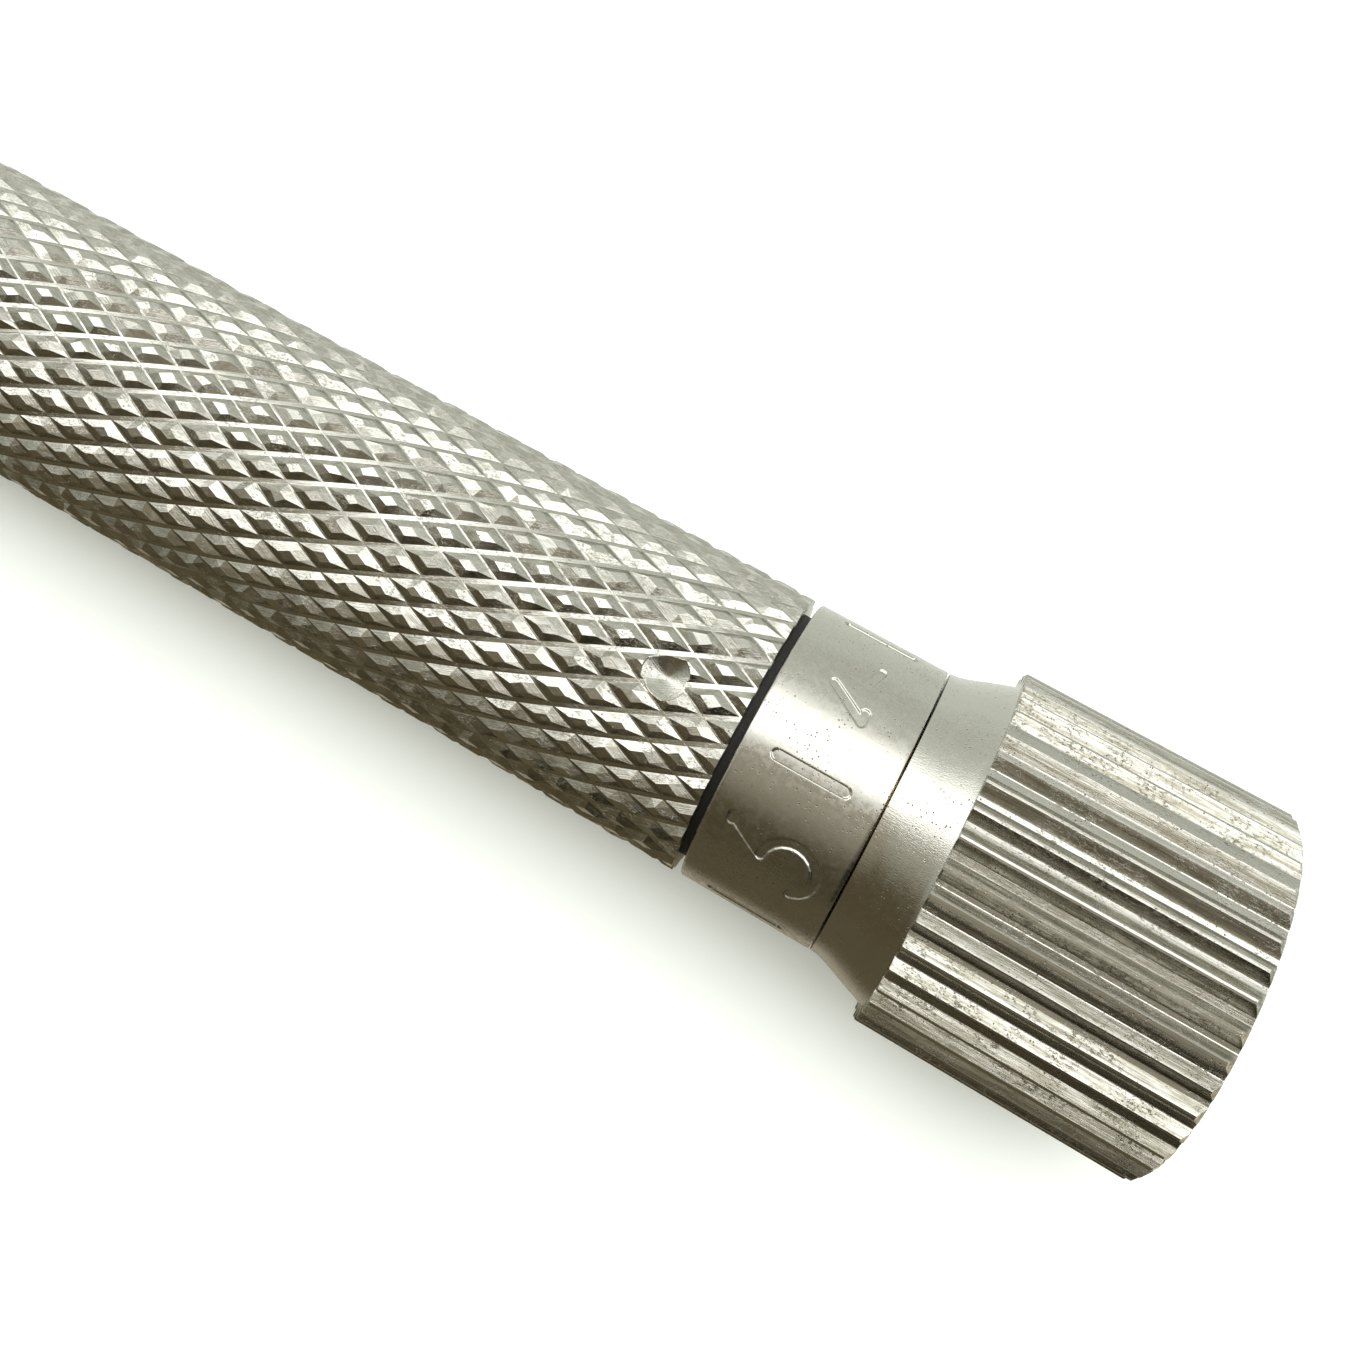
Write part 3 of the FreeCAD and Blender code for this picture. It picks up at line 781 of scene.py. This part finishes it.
def worn_nickel(name, tone=1.0, rough=0.22, lines=0.0, specks=0.3, grain=0.0012, tarnish=0.5,
                grime_and_shade=0.0, grit=0.0, marks=None):
    """Nickel plate dulled by handling: cloudy tarnish, specks, grit, and in whatever lies deep a dark olive
    film that is partly grime and partly painted shade.
    """
    m = Recipe(name)
    clean = colour(0.46 * tone, 0.458 * tone, 0.42 * tone)
    dull = colour(0.34 * tone, 0.33 * tone, 0.285 * tone)
    brown = colour(0.07, 0.055, 0.035)
    cloud = m.stretch(m.noise(0.9, 6.0), 0.45, 0.75, 0.0, tarnish)
    fine = m.stretch(m.noise(14.0, 3.0), 0.45, 0.75, 0.0, 0.3)
    patches = m.stretch(m.noise(0.7, 3.0), 0.42, 0.6)
    spots = m.maths("MULTIPLY", m.specks(9.0, specks, 0.26), patches)
    base = m.blend(m.maths("ADD", cloud, fine, clamp=True), clean, dull)
    base = m.blend(m.maths("MULTIPLY", spots, 0.8), base, brown)
    gloss = m.stretch(m.noise(5.0, 5.0), 0.3, 0.75, rough * 0.75, rough * 1.5)
    gloss = m.maths("ADD", gloss, m.maths("MULTIPLY", spots, 0.3))
    if grime_and_shade:
        sunk = m.add("ShaderNodeAttribute", attribute_name="sunk").outputs["Fac"]
        streaks = m.noise(9.0, 5.0, 0.65, m.along_axis(0.07))
        flank = m.maths("MULTIPLY", m.stretch(sunk, 0.03, 0.3), m.stretch(sunk, 0.97, 0.85))
        grime_and_shade_film = m.maths("MULTIPLY", flank, m.stretch(streaks, 0.35, 0.62))
        grime_and_shade_film = m.maths("MULTIPLY", grime_and_shade_film, grime_and_shade)
        # Painted shade mixed with grime: the flanks between ridges are darkened towards olive brown, in
        # streaks along the holder.
        base = m.blend(grime_and_shade_film, base, colour(0.15, 0.135, 0.085))
        gloss = m.maths("ADD", gloss, m.maths("MULTIPLY", grime_and_shade_film, 0.12))
    normal = m.bump(m.noise(28.0, 4.0, 0.7), grain)
    if grit:
        flanks = m.add("ShaderNodeAttribute", attribute_name="sunk").outputs["Fac"]
        pits = m.stretch(m.noise(15.0, 7.0, 0.75, m.along_axis(0.5)), 0.51, 0.64)
        pits = m.maths("MULTIPLY", pits, m.stretch(flanks, 0.0, 0.12))
        pits = m.maths("MULTIPLY", pits, m.stretch(m.noise(0.9, 2.0), 0.4, 0.6, 0.15, 1.0))
        base = m.blend(m.maths("MULTIPLY", pits, grit), base, colour(0.10, 0.09, 0.055))
        normal = m.bump(m.maths("SUBTRACT", 1.0, pits), 0.004, normal)
    if marks is not None:
        normal = m.bump(marks(m), 0.005, normal)
    normal = m.bump(m.maths("SUBTRACT", 1.0, spots), 0.006, normal)
    if lines:
        normal = m.bump(m.turning(24.0), lines, normal)
    m.set(Base_Color=base, Roughness=gloss, Normal=normal)
    m.set(Metallic=1.0)
    return m.material


def drawn_marks(m):
    """Fine lines along the flutes."""
    return m.noise(30.0, 3.0, 0.6, m.along_axis(0.03))


def cutter_marks(m):
    """Lines that the knurling wheels leave along each groove, on the flanks beside it."""
    parts = m.add("ShaderNodeSeparateXYZ", {"Vector": m.place})
    back = m.maths("MULTIPLY", parts.outputs["Y"], -1.0)
    turn = m.maths("MULTIPLY", m.maths("ARCTAN2", back, parts.outputs["Z"]), KNURL_STARTS / TURN)
    run = m.maths("MULTIPLY", parts.outputs["X"], 1 / KNURL_PERIOD)
    shift = m.maths("MULTIPLY", barrel_end / KNURL_PERIOD, -1.0)
    run = m.maths("ADD", run, shift)
    drift = m.maths("MULTIPLY", m.noise(1.2, 2.0), 0.12)
    lines, nearness = [], []
    for line in (m.maths("ADD", turn, run), m.maths("SUBTRACT", turn, run)):
        wavy = m.maths("ADD", line, drift)
        noise = m.add("ShaderNodeTexNoise", {"W": wavy, "Scale": 26.0, "Detail": 3.0, "Roughness": 0.7},
                      noise_dimensions="1D")
        lines.append(noise.outputs["Fac"])
        part = m.maths("FRACT", line)
        nearness.append(m.maths("ABSOLUTE", m.maths("SUBTRACT", part, 0.5)))
    left = m.maths("GREATER_THAN", nearness[0], nearness[1])
    mixed = m.add("ShaderNodeMix", {0: left, 2: lines[1], 3: lines[0]}, data_type="FLOAT")
    return mixed.outputs[0]


def plain_steel(name, tone, rough):
    """Turned or hardened steel inside the holder."""
    m = Recipe(name)
    base = m.blend(m.noise(1.5, 5.0), colour(0.56 * tone, 0.55 * tone, 0.54 * tone),
                   colour(0.40 * tone, 0.39 * tone, 0.38 * tone))
    gloss = m.stretch(m.noise(6.0, 4.0), 0.3, 0.75, rough * 0.8, rough * 1.4)
    m.set(Base_Color=base, Roughness=gloss, Normal=m.bump(m.turning(16.0), 0.002))
    m.set(Metallic=1.0)
    return m.material


def turned_brass(name):
    """Bare brass with a little oxide."""
    m = Recipe(name)
    oxide = m.stretch(m.noise(0.8, 6.0), 0.4, 0.75)
    base = m.blend(oxide, colour(0.78, 0.58, 0.27), colour(0.42, 0.28, 0.12))
    gloss = m.stretch(m.noise(6.0, 4.0), 0.3, 0.75, 0.2, 0.42)
    m.set(Base_Color=base, Roughness=gloss, Normal=m.bump(m.turning(14.0), 0.002))
    m.set(Metallic=1.0)
    return m.material


def black_fibre(name):
    """Pressed black fibre washer."""
    m = Recipe(name)
    base = m.blend(m.noise(9.0, 5.0), colour(0.012, 0.012, 0.013), colour(0.035, 0.033, 0.03))
    m.set(Base_Color=base, Roughness=m.stretch(m.noise(20.0, 3.0), 0.3, 0.7, 0.55, 0.85),
          Normal=m.bump(m.noise(18.0, 4.0), 0.01))
    return m.material


def graphite(name):
    """Polished pencil lead, smeared along its length."""
    m = Recipe(name)
    smear = m.noise(12.0, 5.0, 0.6, m.along_axis(0.15))
    base = m.blend(smear, colour(0.035, 0.036, 0.04), colour(0.10, 0.10, 0.108))
    m.set(Base_Color=base, Roughness=m.stretch(smear, 0.3, 0.7, 0.32, 0.55), Normal=m.bump(smear, 0.006))
    m.set(Metallic=0.55)
    return m.material


# ---------------------------------------------------------------- setting

def photo_camera():
    """Camera close above the knob end, looking down and along the grip."""
    camera = bpy.data.objects.new("camera", bpy.data.cameras.new("camera"))
    bpy.context.scene.collection.objects.link(camera)
    right = Vector((0.87083, 0.48774, -0.06126))
    up = Vector((-0.44863, 0.83950, 0.30655))
    back = right.cross(up).normalized()
    up = back.cross(right).normalized()
    place = Vector((barrel_end + 3.18 * MM, -3.43 * MM, 50.28 * MM))
    turn = Matrix((right.normalized(), up, back)).transposed()
    camera.matrix_world = Matrix.Translation(place) @ turn.to_4x4()
    camera.data.sensor_width = 36.0
    camera.data.lens = 43.55
    camera.data.shift_y = -0.2335
    camera.data.clip_start = 0.002
    camera.data.clip_end = 20.0
    bpy.context.scene.camera = camera


def paper_floor():
    """White paper under the holder; what the metal mirrors of it is painted darker as shade, most of all far
    out at -Y, and paler on the lit +Y side.
    """
    size, level = 3.0, knob_low.z
    floor = mesh_object("floor", [(-size, -size, level), (size, -size, level), (size, size, level),
                                  (-size, size, level)], [(0, 1, 2, 3)])
    m = Recipe("white_paper")
    across = m.add("ShaderNodeSeparateXYZ", {"Vector": m.place}).outputs["Y"]
    near = m.stretch(across, -12 * MM, -5 * MM)
    lit_side = m.stretch(across, -2 * MM, 3 * MM)
    # Painted shade and painted light in what the metal mirrors: dark brown far out at -Y, warm grey near the
    # holder, pale green-grey on the lit +Y side.
    mirrored_with_painted_shade = m.blend(near, colour(0.12, 0.10, 0.06), colour(0.76, 0.70, 0.58))
    mirrored_with_painted_shade = m.blend(lit_side, mirrored_with_painted_shade, colour(0.72, 0.75, 0.71))
    seen = m.blend(m.noise(0.5, 4.0), colour(0.87, 0.91, 0.88), colour(0.91, 0.94, 0.915))
    path = m.add("ShaderNodeLightPath")
    m.set(Base_Color=m.blend(path.outputs["Is Camera Ray"], mirrored_with_painted_shade, seen), Roughness=0.85,
          Normal=m.bump(m.noise(2.0, 3.0), 0.01))
    m.set(Specular_IOR_Level=0.0)
    m.set(Emission_Color=colour(0.93, 1.0, 0.95))
    m.set(Emission_Strength=m.maths("MULTIPLY", path.outputs["Is Camera Ray"], 0.2))
    floor.data.materials.append(m.material)


class Sky:
    """Short way to write the nodes of the surroundings."""

    def __init__(self):
        world = bpy.data.worlds.new("studio")
        world.use_nodes = True
        bpy.context.scene.world = world
        self.tree = world.node_tree
        self.output = self.tree.nodes["Background"].inputs["Color"]

    def add(self, kind, inputs=None, **settings):
        node = self.tree.nodes.new(kind)
        for key, value in settings.items():
            setattr(node, key, value)
        for key, value in (inputs or {}).items():
            if isinstance(value, bpy.types.NodeSocket):
                self.tree.links.new(value, node.inputs[key])
            else:
                node.inputs[key].default_value = value
        return node

    def ramp(self, value, stops):
        """A colour ramp through (position, colour) stops."""
        node = self.add("ShaderNodeValToRGB", {"Fac": value})
        elements = node.color_ramp.elements
        elements.remove(elements[-1])
        for i, (position, tint) in enumerate(stops):
            element = elements[0] if i == 0 else elements.new(position)
            element.position = position
            element.color = (*tint, 1.0)
        return node.outputs["Color"]

    def mix(self, factor, a, b):
        node = self.add("ShaderNodeMix", data_type="RGBA")
        for socket, value in ((0, factor), (6, a), (7, b)):
            if isinstance(value, bpy.types.NodeSocket):
                self.tree.links.new(value, node.inputs[socket])
            else:
                node.inputs[socket].default_value = value
        return node.outputs[2]


def studio_world():
    """A light tent: a long bright panel on the +Y side of the top, and a dark corner at +X, -Y."""
    sky = Sky()
    way = sky.add("ShaderNodeTexCoord").outputs["Generated"]
    parts = sky.add("ShaderNodeSeparateXYZ", {0: way})
    turn = sky.add("ShaderNodeMath", {0: parts.outputs["Y"], 1: parts.outputs["Z"]}, operation="ARCTAN2")
    share = sky.add("ShaderNodeMapRange", {"Value": turn.outputs[0], "From Min": -math.pi / 2,
                                           "From Max": math.pi / 2}).outputs[0]
    panel = [(-90, 0.0), (-5, 0.0), (2, 1.0), (31, 1.0), (45, 0.1), (70, 0.0)]
    panel = sky.ramp(share, [((angle + 90) / 180, (level,) * 3) for angle, level in panel])
    around = sky.add("ShaderNodeMath", {0: parts.outputs["Y"], 1: parts.outputs["X"]}, operation="ARCTAN2")
    around = sky.add("ShaderNodeMapRange", {"Value": around.outputs[0], "From Min": -math.pi,
                                            "From Max": math.pi}).outputs[0]
    light, far = (0.88, 0.90, 0.81), (0.74, 0.76, 0.67)
    brown, dark = (0.15, 0.12, 0.067), (0.026, 0.026, 0.016)
    tones = [(-180, far), (-150, far), (-136, brown), (-92, brown), (-74, dark), (0, dark), (12, light)]
    sides = sky.ramp(around, [((angle + 180) / 360, tint) for angle, tint in tones])
    height = sky.add("ShaderNodeMapRange", {"Value": parts.outputs["Z"], "From Min": 0.5, "From Max": 0.985},
                     interpolation_type="SMOOTHSTEP").outputs[0]
    room = sky.mix(height, sides, (0.62, 0.56, 0.44, 1.0))
    lit = sky.mix(panel, room, (3.3, 3.3, 3.24, 1.0))
    path = sky.add("ShaderNodeLightPath")
    seen = sky.mix(path.outputs["Is Camera Ray"], lit, (1.0, 1.0, 1.0, 1.0))
    sky.tree.links.new(seen, sky.output)


def set_view():
    """Plain display transform with the whites just clipped."""
    view = bpy.context.scene.view_settings
    view.view_transform = "Standard"
    view.look = "None"
    view.exposure = 0.0


# ---------------------------------------------------------------- assembly

def place_piece(piece, node, body, material):
    """Puts a finished piece in for a CAD node."""
    piece.data.materials.clear()
    piece.data.materials.append(material)
    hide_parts(node)
    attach(piece, body)


def finish_node(node, material):
    """Gives a CAD node that keeps its own shape a finished material."""
    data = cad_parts[node].data
    for i in range(len(data.materials)):
        data.materials[i] = material
    if not data.materials:
        data.materials.append(material)


photo_camera()

# The knurl and the knob get dark grime in their grooves that is partly painted shade.
knurl_nickel = worn_nickel("knurled_nickel", tone=1.02, rough=0.15, specks=0.1, grain=0.0010, tarnish=0.25,
                           grime_and_shade=0.25, grit=0.25, marks=cutter_marks)
dial_nickel = worn_nickel("dial_nickel", tone=0.95, rough=0.25, lines=0.0006, specks=0.5, grain=0.0006,
                          tarnish=0.25)
knob_nickel = worn_nickel("knob_nickel", tone=1.0, rough=0.17, specks=0.5, grain=0.0008, tarnish=0.2,
                          grime_and_shade=0.7, grit=0.7, marks=drawn_marks)
nose_nickel = worn_nickel("nose_nickel", tone=0.95, rough=0.22, lines=0.0012, specks=0.25, grain=0.0006,
                          tarnish=0.4)
steel = plain_steel("hard_steel", 1.0, 0.25)
spring = plain_steel("spring_wire", 0.85, 0.3)
brass = turned_brass("brass")
washer = black_fibre("black_fibre")
lead_grey = graphite("graphite")

place_piece(knurled_barrel(), "barrel", "holder", knurl_nickel)
place_piece(engraved_dial(), "dial_ring", "dial", dial_nickel)
place_piece(fluted_knob(), "knob", "knob", knob_nickel)
place_piece(end_cap(), "end_cap", "knob", nose_nickel)
place_piece(turned_nose(), "nose_cone", "holder", nose_nickel)
place_piece(turned_collar(), "front_collar", "holder", nose_nickel)
place_piece(pointed_lead(), "lead", "lead", lead_grey)

for node in ("clutch_ring", "key_pin", "jaw_1", "jaw_2", "jaw_3"):
    finish_node(node, steel)
for node in ("guide_bush", "rear_bush", "jaw_socket", "lead_tube", "spring_collar", "drive_nut", "lock_nut"):
    finish_node(node, brass)
for node in ("spring_seat", "nut_washer", "drive_screw"):
    finish_node(node, steel)
spring_coil = coil_spring()
place_piece(spring_coil, "return_spring", "holder", spring)
shorten_spring(spring_coil)
for node in ("thrust_washer", "friction_washer"):
    finish_node(node, washer)

paper_floor()
studio_world()
set_view()
